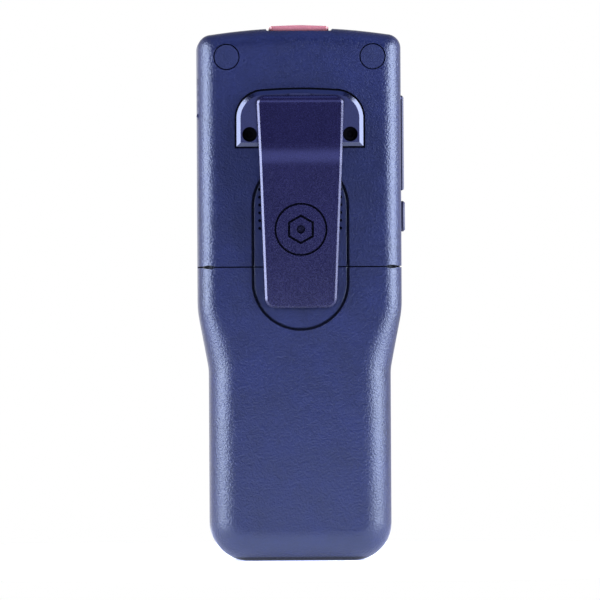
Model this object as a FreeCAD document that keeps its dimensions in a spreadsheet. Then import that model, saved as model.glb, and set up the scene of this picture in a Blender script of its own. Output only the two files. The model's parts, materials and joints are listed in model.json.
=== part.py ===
"""Portable gas detector with a spring belt clip.

Frame: +Z up, the display faces -Y, the belt clip is on the +Y back, X = 0 is the middle.
The origin is the middle of the flat bottom.  Y = 0 is the middle of the case's depth.
All sizes are millimetres.
"""
import FreeCAD, Part
import math
import os
import re
import Sketcher

V = FreeCAD.Vector
doc = FreeCAD.newDocument("gas_detector")

# ---------------------------------------------------------------- driving dimensions
SIZES = {
    # case outline, seen from the front or the back
    "head_half": 31.3, "grip_half": 27.9, "case_top": 164.3, "crown_radius": 180.0,
    "crown_slope": 8.0, "crown_corner": 4.3, "shoulder_top": 77.2, "shoulder_base": 59.1,
    "shoulder_bend": 32.0, "waist_bend": 18.0, "foot_corner": 11.7,
    # case depth, walls and the lines where it comes apart
    "back_y": 17.0, "front_y": -17.0, "wall": 2.2, "front_round": 4.0,
    "head_round": 6.0, "grip_round": 9.2, "seam_y": -4.0, "parting_z": 90.6,
    "parting_gap": 0.4, "slide_gap": 0.15, "fit_gap": 0.2,
    # lip behind the parting line, and the lens-shaped slits at its two ends
    "lip_depth": 1.6, "lip_reach": 1.2, "slit_x": 28.2, "slit_long": 4.6,
    "slit_tall": 1.1, "slit_floor": 12.0,
    # seal between the shells
    "seal_inset": 0.7, "seal_width": 0.8, "seal_depth": 0.6,
    # alarm lens in the crown
    "lens_half": 9.15, "lens_rise": 0.7, "lens_front": -9.0, "lens_back": 11.0,
    "lens_notch_half": 9.9, "lens_notch_lean": 0.65, "lens_notch_deep": 1.0,
    "lens_flange": 1.3, "lens_flange_deep": 3.9, "lens_wall": 1.2,
    "lens_corner": 1.2,
    # round screw plugs and the case screws under them
    "plug_x": 22.5, "plug_z": 155.3, "plug_radius": 3.7, "plug_groove": 0.35,
    "plug_depth": 1.4, "boss_radius": 4.9, "screw_radius": 1.5, "screw_head": 2.8,
    "screw_head_height": 1.8, "nut_boss_radius": 3.6,
    # clip base
    "base_half": 20.1, "base_low": 127.1, "base_high": 145.8, "base_corner": 9.0,
    "base_groove": 0.6, "base_sink": 0.8, "base_proud": 1.0, "base_bevel": 1.2,
    "base_bevel_deep": 0.85, "base_crown": 140.0, "base_slope": 3.5,
    "base_screw_x": 15.5, "base_screw_z": 131.4, "base_screw_hole": 2.3,
    "base_screw_seat": 0.45,
    "base_screw_boss": 3.4, "base_screw_shaft": 1.1, "base_screw_length": 9.0,
    "socket_deep_screw": 0.45,
    # clip arm and its hinge
    "arm_tip": 78.0, "arm_top_half": 13.4, "arm_tip_half": 10.9,
    "arm_top_corner": 2.6, "arm_tip_corner": 3.0, "arm_thick": 2.2, "arm_bevel": 0.65,
    "roll_flat": 0.3,
    "arm_bend_y": 26.5, "arm_bend_z": 125.0, "arm_bend": 18.0,
    "arm_tip_y": 19.7, "hinge_y": 20.5, "hinge_z": 141.4, "barrel_radius": 2.2,
    "knuckle_radius": 1.4, "knuckle_half": 3.4, "knuckle_gap": 0.25,
    "rib_top": 144.0, "rib_back": 19.1, "pin_radius": 0.7, "pin_clear": 0.06,
    "pin_end": 1.0, "coil_end": 6.8, "coil_radius": 1.13, "coil_wire": 0.29,
    "coil_turns": 5.0, "coil_house": 1.6,
    # engraved ring and six-sided sign on the arm
    "ring_z": 102.1, "ring_radius": 8.15, "ring_line": 0.6, "engrave": 0.8,
    "sign_radius": 4.6, "sign_line": 0.8, "sign_dot": 1.3,
    # pill-shaped recess and its sound holes
    "pill_half": 15.1, "pill_low": 70.9, "pill_high": 124.3, "pill_groove": 0.55,
    "pill_groove_deep": 1.0, "pill_depth": 0.45, "pill_bevel": 0.5, "pill_bevel_deep": 0.35,
    "hole_radius": 0.48, "hole_pitch": 2.4, "hole_top": 114.5, "hole_side": 12.5,
    "hole_rows": 6.0, "hole_columns": 11.0,
    # port cover, side button and side vent
    "port_low": 113.9, "port_high": 143.9, "port_front": -1.5, "port_back": 10.5,
    "port_sink": 1.4, "port_proud": 0.9, "port_gap": 0.2, "port_axis_in": 0.3,
    "port_axis_z": 142.5, "port_pin_radius": 0.4, "port_pin_clear": 0.05,
    "port_end": 0.85, "port_bevel": 0.5, "port_window_low": 118.5, "port_window_high": 134.5,
    "port_window_front": 0.6, "port_window_back": 8.4, "socket_wall": 1.0,
    "socket_deep": 6.5,
    "button_low": 101.2, "button_high": 111.0, "button_y": 6.5, "button_half": 3.0,
    "button_proud": 1.2, "button_travel": 0.7, "button_flange": 1.1,
    "button_bevel": 0.5,
    "vent_low": 136.2, "vent_high": 148.7, "vent_front": 0.0, "vent_back": 13.2,
    "vent_sink": 0.9, "vent_proud": 0.3, "vent_lip": 0.9, "vent_inner": 10.8,
    "vent_slot": 0.35, "vent_slot_tall": 0.9,
    # front face: display, keys and sensor cover
    "display_z": 112.0, "display_half": 22.0, "display_tall": 15.0, "window_rim": 2.0,
    "window_thick": 1.1, "lcd_thick": 2.4, "light_thick": 1.6, "card_thick": 1.2,
    "lcd_half": 24.5, "lcd_tall": 18.0, "stack_gap": 0.2, "card_half": 25.0,
    "card_low": 67.0, "key_z": 80.0, "key_pitch": 16.0, "key_radius": 5.0,
    "key_flange": 1.4, "key_proud": 1.0, "key_travel": 0.8, "dome_radius": 3.2,
    "dome_height": 0.6, "stem_radius": 1.8,
    "sensor_z": 143.4, "sensor_x": 11.3, "sensor_radius": 10.1, "sensor_long": 16.6,
    "inlet_radius": 7.0, "cap_thick": 1.2, "cap_half": 21.0, "cap_tall": 8.6,
    "filter_thick": 0.4, "slot_long": 9.0, "slot_wide": 1.2, "slot_pitch": 2.6,
    # boards and what they carry
    "board_side": 6.8, "board_low": 95.0, "board_high": 149.3, "board_front": 3.0,
    "board_thick": 1.6, "post_x": 20.5, "post_low": 97.8, "post_high": 127.0,
    "post_radius": 2.4, "post_screw": 0.9, "post_head": 1.9,
    "sounder_radius": 9.5, "sounder_tall": 7.0, "sounder_z": 108.5,
    "chamber_half": 14.4, "chamber_tall": 7.8, "chamber_wall": 1.0,
    "motor_x": 17.8, "motor_low": 102.5, "motor_long": 9.0, "motor_radius": 3.0,
    "motor_shaft": 0.5, "motor_lift": 0.9, "weight_radius": 2.6, "weight_thick": 3.2,
    # battery compartment in the grip
    "cell_radius": 7.1, "cell_long": 50.5, "cell_gap": 0.5, "cell_low": 9.8,
    "cell_y": 4.2, "nub_radius": 2.75, "nub_long": 1.0, "tray_clear": 0.5,
    "tray_thick": 1.3, "tray_low": 5.6, "tray_high": 65.2, "tray_back": 8.0,
    "tray_side": 0.9, "contact_thick": 0.5, "spring_radius": 3.4, "spring_wire": 0.8,
}

dims = doc.addObject("Spreadsheet::Sheet", "dims")
for row, (alias, size) in enumerate(SIZES.items(), start=1):
    dims.set("A%d" % row, alias)
    dims.set("B%d" % row, str(size))
    dims.setAlias("B%d" % row, alias)
doc.recompute()


def cell(text):
    """An expression with each size's name turned into its spreadsheet cell."""
    return re.sub(r"[A-Za-z_]\w*", lambda m: "dims." + m[0] if m[0] in SIZES else m[0],
                  str(text))


def number(text):
    """The value of an expression of sizes."""
    value = dims.evalExpression(cell(text))
    return float(getattr(value, "Value", value))


# ---------------------------------------------------------------- drawing helpers
def place(sketch, geometry, point, across, up):
    """Tie one point of the sketch to its distances from the sketch's origin."""
    for kind, text, axis in (("DistanceX", across, -2), ("DistanceY", up, -1)):
        if text == "0":
            sketch.addConstraint(Sketcher.Constraint("PointOnObject", geometry, point, axis))
            continue
        index = sketch.addConstraint(
            Sketcher.Constraint(kind, geometry, point, number(text)))
        sketch.setExpression("Constraints[%d]" % index, cell(text))


def draw_polygon(sketch, corners):
    """A closed outline of straight runs.  Each corner is (across, up, radius or None)."""
    points = [V(number(c[0]), number(c[1]), 0) for c in corners]
    count = len(points)
    area = sum(points[i - 1].x * points[i].y - points[i].x * points[i - 1].y
               for i in range(count))
    if area < 0:
        corners = corners[::-1]
        points = points[::-1]
    ways = [(points[(i + 1) % count] - points[i]).normalize() for i in range(count)]
    radii = [number(c[2]) if c[2] else 0.0 for c in corners]
    cuts = []
    for i in range(count):
        turn = ways[i - 1].getAngle(ways[i])
        cuts.append(radii[i] * math.tan(turn / 2))
    lines = []
    for i in range(count):
        after = (i + 1) % count
        start = points[i] + ways[i] * cuts[i]
        end = points[after] - ways[i] * cuts[after]
        lines.append(sketch.addGeometry(Part.LineSegment(start, end)))
    for i, (across, up, radius) in enumerate(corners):
        before = lines[i - 1]
        after = lines[i]
        if not radius:
            sketch.addConstraint(Sketcher.Constraint("Coincident", before, 2, after, 1))
            place(sketch, after, 1, across, up)
            continue
        left = ways[i - 1].cross(ways[i]).z > 0
        side = V(-ways[i - 1].y, ways[i - 1].x, 0) * (1 if left else -1)
        center = points[i] - ways[i - 1] * cuts[i] + side * radii[i]
        circle = Part.Circle(center, V(0, 0, 1), radii[i])
        first = points[i] - ways[i - 1] * cuts[i] - center
        last = points[i] + ways[i] * cuts[i] - center
        if not left:
            first, last = last, first
        angles = [math.atan2(v.y, v.x) for v in (first, last)]
        if angles[1] < angles[0]:
            angles[1] += 2 * math.pi
        arc = sketch.addGeometry(Part.ArcOfCircle(circle, *angles))
        entry, leave = (1, 2) if left else (2, 1)
        sketch.addConstraint(Sketcher.Constraint("Tangent", before, 2, arc, entry))
        sketch.addConstraint(Sketcher.Constraint("Tangent", arc, leave, after, 1))
        index = sketch.addConstraint(Sketcher.Constraint("Radius", arc, radii[i]))
        sketch.setExpression("Constraints[%d]" % index, cell(radius))
        corner = sketch.addGeometry(Part.Point(points[i]), True)
        place(sketch, corner, 1, across, up)
        sketch.addConstraint(Sketcher.Constraint("PointOnObject", corner, 1, before))
        sketch.addConstraint(Sketcher.Constraint("PointOnObject", corner, 1, after))


def draw_circle(sketch, across, up, radius):
    """A circle tied to its middle and its radius."""
    middle = V(number(across), number(up), 0)
    circle = sketch.addGeometry(Part.Circle(middle, V(0, 0, 1), number(radius)))
    place(sketch, circle, 3, across, up)
    index = sketch.addConstraint(Sketcher.Constraint("Radius", circle, number(radius)))
    sketch.setExpression("Constraints[%d]" % index, cell(radius))


def oblong(half_across, half_up, across="0", up="0", radius=None):
    """The four corners of an upright rectangle about a middle."""
    left = "-(%s)" % half_across if across == "0" else "%s-(%s)" % (across, half_across)
    right = half_across if across == "0" else "%s+(%s)" % (across, half_across)
    low = "-(%s)" % half_up if up == "0" else "%s-(%s)" % (up, half_up)
    high = half_up if up == "0" else "%s+(%s)" % (up, half_up)
    return [(left, low, radius), (right, low, radius), (right, high, radius),
            (left, high, radius)]


def span(left, right, low, high, radius=None):
    """The four corners of a rectangle between two pairs of edges."""
    return [(left, low, radius), (right, low, radius), (right, high, radius),
            (left, high, radius)]


def sketch_in(body, plane, level, outlines):
    """A sketch on one of the body's own origin planes, moved to a level."""
    sketch = body.newObject("Sketcher::SketchObject", body.Name + "_sketch")
    role = plane + "_Plane"
    base = [f for f in body.Origin.OriginFeatures if f.Role == role][0]
    sketch.AttachmentSupport = (base, [""])
    sketch.MapMode = "FlatFace"
    sketch.setExpression("AttachmentOffset.Base.z", cell(level))
    for outline in outlines:
        if len(outline) == 3 and isinstance(outline[0], str):
            draw_circle(sketch, *outline)
        else:
            draw_polygon(sketch, outline)
    return sketch


def prism(name, plane, low, high, *outlines):
    """A pad of the outlines from low to high, square to an origin plane."""
    body = doc.addObject("PartDesign::Body", name)
    level = "-(%s)" % high if plane == "XZ" else low
    sketch = sketch_in(body, plane, level, outlines)
    pad = body.newObject("PartDesign::Pad", name + "_pad")
    pad.Profile = sketch
    pad.setExpression("Length", cell("(%s)-(%s)" % (high, low)))
    doc.recompute()
    return body


TURN = {"X": FreeCAD.Rotation(V(0, 1, 0), 90), "Y": FreeCAD.Rotation(V(1, 0, 0), -90),
        "Z": FreeCAD.Rotation()}


def rod(name, axis, middle, radius, low, high):
    """A round bar along X, Y or Z between two levels.  middle: its other two places."""
    bar = doc.addObject("Part::Cylinder", name)
    bar.setExpression("Radius", cell(radius))
    bar.setExpression("Height", cell("(%s)-(%s)" % (high, low)))
    bar.Placement = FreeCAD.Placement(V(), TURN[axis])
    others = [letter for letter in "XYZ" if letter != axis]
    places = dict(zip(others, middle))
    places[axis] = low
    for letter, text in places.items():
        bar.setExpression("Placement.Base." + letter.lower(), cell(text))
    return bar


def ring(name, axis, middle, inner, outer, low, high):
    """A tube along X, Y or Z."""
    return cut(name, rod(name + "_bar", axis, middle, outer, low, high),
               rod(name + "_bore", axis, middle, inner, "%s-1" % low, "%s+1" % high))


def join(name, *pieces):
    """Pieces fused into one shape, or kept as one group of separate solids."""
    pieces = [piece for piece in pieces if piece]
    if len(pieces) == 1:
        return pieces[0]
    whole = doc.addObject("Part::MultiFuse", name)
    whole.Shapes = list(pieces)
    whole.Refine = True
    return whole


def cut(name, base, *tools):
    """The base less the tools."""
    piece = doc.addObject("Part::Cut", name)
    piece.Base = base
    piece.Tool = join(name + "_tools", *tools)
    piece.Refine = True
    return piece


def common(name, one, two):
    """What two shapes share."""
    piece = doc.addObject("Part::Common", name)
    piece.Base = one
    piece.Tool = two
    piece.Refine = True
    return piece


def group(name, *pieces):
    """Alike separate solids that share one node."""
    whole = doc.addObject("Part::Compound", name)
    whole.Links = list(pieces)
    return whole


def bevel_rim(name, piece, rim, across, deep, fits):
    """Bevel the numbered edges, measured so that the given test holds."""
    bevel = doc.addObject("Part::Chamfer", name)
    bevel.Base = piece
    for pair in ((across, deep), (deep, across)):
        bevel.Edges = [(index, number(pair[0]), number(pair[1])) for index in rim]
        doc.recompute()
        if fits(bevel.Shape):
            break
    return bevel


def bevelled(name, piece, side, across, deep):
    """Bevel the rim of a piece's flat end, such as its YMax, by across and by deep."""
    doc.recompute()
    axis = side[0]
    end = getattr(piece.Shape.BoundBox, side)
    rim = []
    for index, edge in enumerate(piece.Shape.Edges, start=1):
        box = edge.BoundBox
        if max(abs(getattr(box, axis + tag) - end) for tag in ("Min", "Max")) < 0.01:
            rim.append(index)
    level = end - math.copysign(number(deep), end)
    return bevel_rim(name, piece, rim, across, deep, lambda shape: min(
        abs(getattr(vertex, axis) - level) for vertex in shape.Vertexes) < 0.01)


NODES = []


def keep(name, piece):
    """Mark a finished sub-part.  Its label names its file."""
    piece.Label = name
    NODES.append(piece)
    return piece


def both(text):
    """An expression and its mirror in X = 0."""
    return (text, "-(%s)" % text)


# ---------------------------------------------------------------- case block
def case_outline():
    """The whole case's outline in the XZ plane, a sketch of its own."""
    sketch = doc.addObject("Sketcher::SketchObject", "case_outline")
    sketch.Placement = FreeCAD.Placement(V(), FreeCAD.Rotation(V(1, 0, 0), 90))
    apex = "case_top+crown_radius*(1/cos(crown_slope)-1)"
    corner = apex + "-head_half*tan(crown_slope)"
    draw_polygon(sketch, [
        ("-grip_half", "0", "foot_corner"), ("grip_half", "0", "foot_corner"),
        ("grip_half", "shoulder_base", "waist_bend"),
        ("head_half", "shoulder_top", "shoulder_bend"),
        ("head_half", corner, "crown_corner"), ("0", apex, "crown_radius"),
        ("-head_half", corner, "crown_corner"),
        ("-head_half", "shoulder_top", "shoulder_bend"),
        ("-grip_half", "shoulder_base", "waist_bend")])
    return sketch


def inset(name, outline, distance):
    """The outline moved inwards by a distance."""
    moved = doc.addObject("Part::Offset2D", name)
    moved.Source = outline
    moved.setExpression("Value", cell("-(%s)" % distance))
    return moved


def slab(name, outline, low, high):
    """The outline as a solid between two depths."""
    solid = doc.addObject("Part::Extrusion", name)
    solid.Base = outline
    solid.DirMode = "Custom"
    solid.Dir = V(0, 1, 0)
    solid.Solid = True
    solid.setExpression("LengthFwd", cell(high))
    solid.setExpression("LengthRev", cell("-(%s)" % low))
    doc.recompute()
    return solid


def soften(name, block, inward):
    """Round a slab's back and front edges.  The back rounding grows down the shoulder."""
    back = number("back_y") - inward
    front = number("front_y") + inward
    high = number("shoulder_top+2.4")
    low = number("shoulder_base-1.3")
    rounds = []
    for index, edge in enumerate(block.Shape.Edges, start=1):
        box = edge.BoundBox
        if box.YLength > 0.01:
            continue
        if abs(box.YMin - front) < 0.01:
            radius = number("front_round") - inward
            rounds.append((index, radius, radius))
        elif abs(box.YMin - back) < 0.01:
            pair = []
            for t in edge.ParameterRange:
                share = min(1, max(0, (high - edge.valueAt(t).z) / (high - low)))
                growth = number("grip_round-head_round") * share
                pair.append(number("head_round") - inward + growth)
            rounds.append((index, *pair))
    solid = doc.addObject("Part::Fillet", name)
    solid.Base = block
    solid.Edges = rounds
    doc.recompute()
    return solid


outline = case_outline()
doc.recompute()
block = soften("case_block", slab("case_slab", outline, "front_y", "back_y"), 0.0)
cavity_outline = inset("cavity_outline", outline, "wall")
cavity = soften("cavity_block",
                slab("cavity_slab", cavity_outline, "front_y+wall", "back_y-wall"),
                number("wall"))
hollow = cut("case_hollow", block, cavity)


def region_box(name, half_x, low_y, high_y, low_z, high_z):
    """A box that is even about X = 0."""
    return prism(name, "XZ", low_y, high_y,
                 span("-(%s)" % half_x, half_x, low_z, high_z))


def region(name, low_y, high_y, low_z, high_z):
    """A box that spans the case's width."""
    return region_box(name, "head_half+5", low_y, high_y, low_z, high_z)


# ---------------------------------------------------------------- shared cutters
def lens_notch():
    """The seat around the alarm lens, open to the back, with sloping ends."""
    floor = "case_top-lens_notch_deep"
    wide = "lens_notch_half+(lens_rise+lens_notch_deep)*lens_notch_lean"
    return prism("lens_notch", "XZ", "lens_front-fit_gap", "back_y+1", [
        ("-lens_notch_half", floor, None), ("lens_notch_half", floor, None),
        (wide, "case_top+lens_rise+0.5", None),
        ("-(%s)" % wide, "case_top+lens_rise+0.5", None)])


def lens_slot():
    """The opening that the lens stands in."""
    return prism("lens_slot", "XY", "case_top-wall-2", "case_top+lens_rise+1",
                 span("-lens_half-fit_gap/2", "lens_half+fit_gap/2",
                      "lens_front-fit_gap/2", "lens_back+fit_gap/2",
                      "lens_corner+fit_gap/2"))


def pill_block(name, half, deep, proud):
    """A pill-shaped block, square to the case's back."""
    ends = [rod(name + "_" + tag, "Y", ("0", z), half, deep, proud)
            for tag, z in (("low_end", "pill_low+pill_half"),
                           ("high_end", "pill_high-pill_half"))]
    middle = prism(name + "_middle", "XZ", deep, proud, span(
        "-(%s)" % half, half, "pill_low+pill_half", "pill_high-pill_half"))
    return join(name, middle, *ends)


def pill_recess():
    """The pill-shaped hollow behind the clip: a groove around a sunk, bevelled panel."""
    panel = pill_block("pill_panel", "pill_half-pill_groove", "back_y-pill_groove_deep-1",
                       "back_y-pill_depth")
    edge = bevelled("pill_panel_bevel", panel, "YMax", "pill_bevel", "pill_bevel_deep")
    hollow_block = pill_block("pill_block", "pill_half", "back_y-pill_groove_deep",
                              "back_y+1")
    return cut("pill_recess", hollow_block, edge)


def seal_band():
    """The closed band of the seal between the shells."""
    outer = slab("seal_outer", inset("seal_outer_line", outline, "seal_inset"),
                 "seam_y-seal_depth", "seam_y")
    inner = slab("seal_inner", inset("seal_inner_line", outline, "seal_inset+seal_width"),
                 "seam_y-seal_depth-1", "seam_y+1")
    lens_gap = region_box("seal_lens_gap", "lens_notch_half+2.5", "seam_y-seal_depth-1",
                          "seam_y+1", "case_top-wall-2", "case_top+lens_rise+1")
    return cut("seal_band", outer, inner, lens_gap)


def lip_block(name, depth, low, high):
    """The case's rounded shape moved inwards, between two heights."""
    whole = soften(name + "_round", slab(name + "_slab", inset(name + "_line", outline, depth),
                                         "front_y+(%s)" % depth, "back_y-(%s)" % depth),
                   number(depth))
    return common(name, whole, region(name + "_region", "seam_y+slide_gap", "back_y+1",
                                      low, high))


def parting_slits():
    """The two lens-shaped openings where the parting line crosses the rounded edges."""
    swing = "((slit_long/2)^2+(slit_tall/2)^2)/slit_tall"
    slits = []
    for side, x in zip("ab", both("slit_x")):
        arcs = [rod("slit_%s_%s" % (side, tag), "Y", (x, "parting_z%s(%s-slit_tall/2)"
                                                      % (sign, swing)),
                    swing, "slit_floor", "back_y+1")
                for tag, sign in (("low", "-"), ("high", "+"))]
        slits.append(common("slit_" + side, *arcs))
    return slits


notch = lens_notch()
slot = lens_slot()
pill = pill_recess()
seal = seal_band()
slits = parting_slits()


# ---------------------------------------------------------------- rear shell
def clip_seat():
    """The sunk D-shaped seat of the clip base."""
    return prism("clip_seat", "XZ", "back_y-base_sink", "back_y+1", base_corners("0"))


def base_corners(gap):
    """The D outline: square below, round and slightly crowned above."""
    side = "base_half-%s" % gap
    apex = "base_high+base_crown*(1/cos(base_slope)-1)-%s" % gap
    corner = apex + "-base_half*tan(base_slope)"
    return [("-(%s)" % side, "base_low+%s" % gap, None),
            (side, "base_low+%s" % gap, None),
            (side, corner, "base_corner-%s" % gap), ("0", apex, "base_crown"),
            ("-(%s)" % side, corner, "base_corner-%s" % gap)]


def rear_shell():
    """The upper back half of the case, with its bosses and openings."""
    half = common("rear_half", hollow, region("rear_region", "seam_y", "back_y+1",
                                              "parting_z+parting_gap/2", "case_top+lens_rise+5"))
    inner = "back_y-wall"
    solids = [cut("rear_slitted", half, *slits),
              cut("rear_lip", lip_block("rear_lip_block", "lip_depth", "parting_z-lip_reach",
                                        "parting_z+lip_reach+2"), cavity)]
    holes = [notch, slot, pill, clip_seat()]
    for side, x in zip("ab", both("plug_x")):
        solids.append(rod("plug_boss_" + side, "Y", (x, "plug_z"), "boss_radius",
                          "seam_y", inner + "+0.5"))
        holes.append(rod("plug_seat_" + side, "Y", (x, "plug_z"),
                         "plug_radius+plug_groove", "back_y-plug_depth-3", "back_y+1"))
        holes.append(rod("plug_bore_" + side, "Y", (x, "plug_z"), "screw_radius+0.15",
                         "seam_y-1", "back_y"))
    for side, x in zip("ab", both("base_screw_x")):
        solids.append(rod("base_boss_" + side, "Y", (x, "base_screw_z"),
                          "base_screw_boss", inner + "-4.5", inner + "+0.5"))
        holes.append(rod("base_bore_" + side, "Y", (x, "base_screw_z"),
                         "base_screw_shaft", inner + "-4", "back_y"))
    for side, x in zip("ab", both("post_x")):
        for end, z in (("low", "post_low"), ("high", "post_high")):
            tag = side + "_" + end
            solids.append(rod("post_" + tag, "Y", (x, z), "post_radius",
                              "board_front+board_thick", inner + "+0.5"))
            holes.append(rod("post_bore_" + tag, "Y", (x, z), "post_screw",
                             "board_front", "board_front+board_thick+6"))
    holes.append(group("sound_holes", *[
        rod("sound_hole", "Y", ("hole_side*(%d/((hole_columns-1)/2)-1)" % column,
                                "hole_top-hole_pitch*%d" % line),
            "hole_radius", inner + "-1", "back_y+1")
        for column in range(int(SIZES["hole_columns"]))
        for line in range(int(SIZES["hole_rows"]))]))
    holes.append(prism("port_recess", "YZ", "-head_half-1", "-head_half+port_sink",
                       span("port_front", "port_back", "port_low", "port_high")))
    holes.append(prism("port_window", "YZ", "-head_half", "-head_half+wall+1",
                       span("port_window_front", "port_window_back", "port_window_low",
                            "port_window_high", "1")))
    holes.append(rod("port_pin_hole", "Y", ("port_axis_in-head_half", "port_axis_z"),
                     "port_pin_radius", "port_front-1.6", "port_back+1.6"))
    holes.append(prism("button_hole", "YZ", "-head_half-1", "-head_half+wall+1",
                       span("button_y-button_half", "button_y+button_half",
                            "button_low", "button_high", "1.6")))
    holes.append(prism("vent_recess", "YZ", "head_half-vent_sink", "head_half+1",
                       span("vent_front", "vent_back", "vent_low", "vent_high", "0.8")))
    holes.append(prism("vent_window", "YZ", "head_half-wall-1", "head_half",
                       span("vent_front+1.5", "vent_inner-0.7", "vent_low+1.5",
                            "vent_high-1.5", "0.5")))
    return keep("rear_shell", cut("rear_shell", join("rear_solid", *solids), *holes))


def front_shell():
    """The display half of the case, full height."""
    half = common("front_half", hollow, region("front_region", "front_y-1", "seam_y",
                                               "-1", "case_top+lens_rise+5"))
    inner = "front_y+wall"
    solids = [half]
    holes = [notch, slot, seal]
    for side, x in zip("ab", both("plug_x")):
        solids.append(rod("nut_boss_" + side, "Y", (x, "plug_z"), "nut_boss_radius",
                          inner + "-0.5", "seam_y"))
        holes.append(rod("nut_bore_" + side, "Y", (x, "plug_z"), "screw_radius-0.2",
                         "seam_y-7", "seam_y+1"))
    holes.append(prism("display_hole", "XZ", "front_y-1", inner + "+1",
                       oblong("display_half", "display_tall", "0", "display_z", "2")))
    holes.append(prism("window_seat", "XZ", "front_y-1", "front_y+window_thick",
                       oblong("display_half+window_rim", "display_tall+window_rim", "0",
                              "display_z", "3")))
    for step in (-1, 0, 1):
        holes.append(rod("key_hole", "Y", ("key_pitch*%d" % step, "key_z"),
                         "key_radius+fit_gap", "front_y-1", inner + "+1"))
    for x in both("sensor_x"):
        holes.append(rod("inlet", "Y", (x, "sensor_z"), "inlet_radius", "front_y-1",
                         inner + "+1"))
    holes.append(prism("cap_seat", "XZ", "front_y-1", "front_y+cap_thick",
                       oblong("cap_half", "cap_tall", "0", "sensor_z", "cap_tall-0.01")))
    return keep("front_shell", cut("front_shell", join("front_solid", *solids), *holes))


def battery_cover():
    """The lower back half of the case, which slides down off the front shell."""
    half = common("cover_half", hollow, region("cover_region", "seam_y+slide_gap",
                                               "back_y+1", "-1",
                                               "parting_z-parting_gap/2"))
    inner = "back_y-wall"
    tongue = prism("cover_tongue", "XZ", inner + "-1.2", inner + "-slide_gap",
                   span("-pill_half", "pill_half", "parting_z-6", "parting_z+3.5", "1"))
    root = prism("cover_tongue_root", "XZ", inner + "-1.2", inner + "+0.2",
                 span("-pill_half", "pill_half", "parting_z-6", "parting_z-2"))
    rebate = lip_block("cover_rebate", "lip_depth-slide_gap", "parting_z-lip_reach-0.3",
                       "parting_z+1")
    shell = cut("cover_shell", half, rebate, *slits)
    return keep("battery_cover", cut("battery_cover",
                                     join("cover_solid", shell, tongue, root), pill))


# ---------------------------------------------------------------- seal, lens, plugs, vent
def case_seal():
    """The rubber seal between the shells."""
    return keep("case_seal", seal)


def alarm_lens():
    """The clear red lens in the crown, with the flange that holds it from inside."""
    profile = prism("lens_profile", "XZ", "lens_front", "lens_back", [
        ("-lens_half", "case_top-lens_flange_deep", None),
        ("lens_half", "case_top-lens_flange_deep", None),
        ("lens_half", "case_top+lens_rise-0.15", "0.8"),
        ("0", "case_top+lens_rise+0.2", "60"),
        ("-lens_half", "case_top+lens_rise-0.15", "0.8")])
    plan = prism("lens_plan", "XY", "case_top-lens_flange_deep", "case_top+lens_rise+1",
                 span("-lens_half", "lens_half", "lens_front", "lens_back", "lens_corner"))
    dome = common("lens_dome", profile, plan)
    flange = prism("lens_flange_plate", "XY", "case_top-lens_flange_deep",
                   "case_top-lens_flange_deep+lens_flange",
                   span("-lens_half-1.1", "lens_half+1.1", "lens_front-1.1",
                        "lens_back+0.4"))
    room = prism("lens_room", "XY", "case_top-lens_flange_deep-1",
                 "case_top+lens_rise-lens_wall-0.6",
                 oblong("lens_half-lens_wall", "(lens_back-lens_front)/2-lens_wall", "0",
                        "(lens_back+lens_front)/2"))
    return keep("alarm_lens", cut("alarm_lens", join("lens_solid", dome, flange), room))


def screw_plugs():
    """The two flush round plugs over the case screws."""
    plugs = [rod("plug_" + side, "Y", (x, "plug_z"), "plug_radius", "back_y-plug_depth",
                 "back_y") for side, x in zip("ab", both("plug_x"))]
    return keep("screw_plugs", group("screw_plugs", *plugs))


def socket_screw(name, x, z, head_low, head_high, tip, head, shaft):
    """A screw along Y whose socket opens to +Y."""
    solid = join(name + "_solid",
                 rod(name + "_head", "Y", (x, z), head, head_low, head_high),
                 rod(name + "_shaft", "Y", (x, z), shaft, tip, head_low + "+0.1"))
    return cut(name, solid, rod(name + "_socket", "Y", (x, z), "(%s)*0.5" % head,
                                head_high + "-socket_deep_screw", head_high + "+1"))


def case_screws():
    """The two screws that close the case under the plugs."""
    seat = "back_y-plug_depth-3"
    screws = [socket_screw("case_screw_" + side, x, "plug_z", seat,
                           seat + "+screw_head_height", "seam_y-6.5", "screw_head",
                           "screw_radius-0.2")
              for side, x in zip("ab", both("plug_x"))]
    return keep("case_screws", group("case_screws", *screws))


def side_vent():
    """The small slotted insert in the +X side, flush with the rounded edge."""
    gap = "fit_gap/2"
    box = prism("vent_box", "YZ", "head_half-vent_sink", "head_half+1", span(
        "vent_front+" + gap, "vent_back-" + gap, "vent_low+" + gap, "vent_high-" + gap,
        "0.7"))
    lip = rod("vent_lip", "Y", ("head_half+vent_proud-vent_lip", "vent_low+vent_lip+0.2"),
              "vent_lip", "vent_front+0.8", "vent_back-1")
    lip = common("vent_lip_out", lip, box)
    slots = [prism("vent_slot", "YZ", "head_half-vent_sink-1", "head_half+1", oblong(
        "vent_slot", "vent_slot_tall", "vent_front+%s" % along,
        "(vent_low+vent_high)/2+%s" % (3.4 * step + lift), "vent_slot-0.01"))
        for along, lift in ((2.4, 1.0), (5.0, 1.8), (7.6, 1.0), (11.9, 1.8))
        for step in (-1, 0, 1)]
    return keep("side_vent", cut("side_vent", join("vent_plate", common(
        "vent_flush", block, box), lip), *slots))


def side_vent_filter():
    """The membrane behind the side insert."""
    return keep("side_vent_filter", prism(
        "side_vent_filter", "YZ", "head_half-wall-0.4", "head_half-wall",
        span("vent_front+0.8", "vent_inner", "vent_low+0.8", "vent_high-0.8")))


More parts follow.
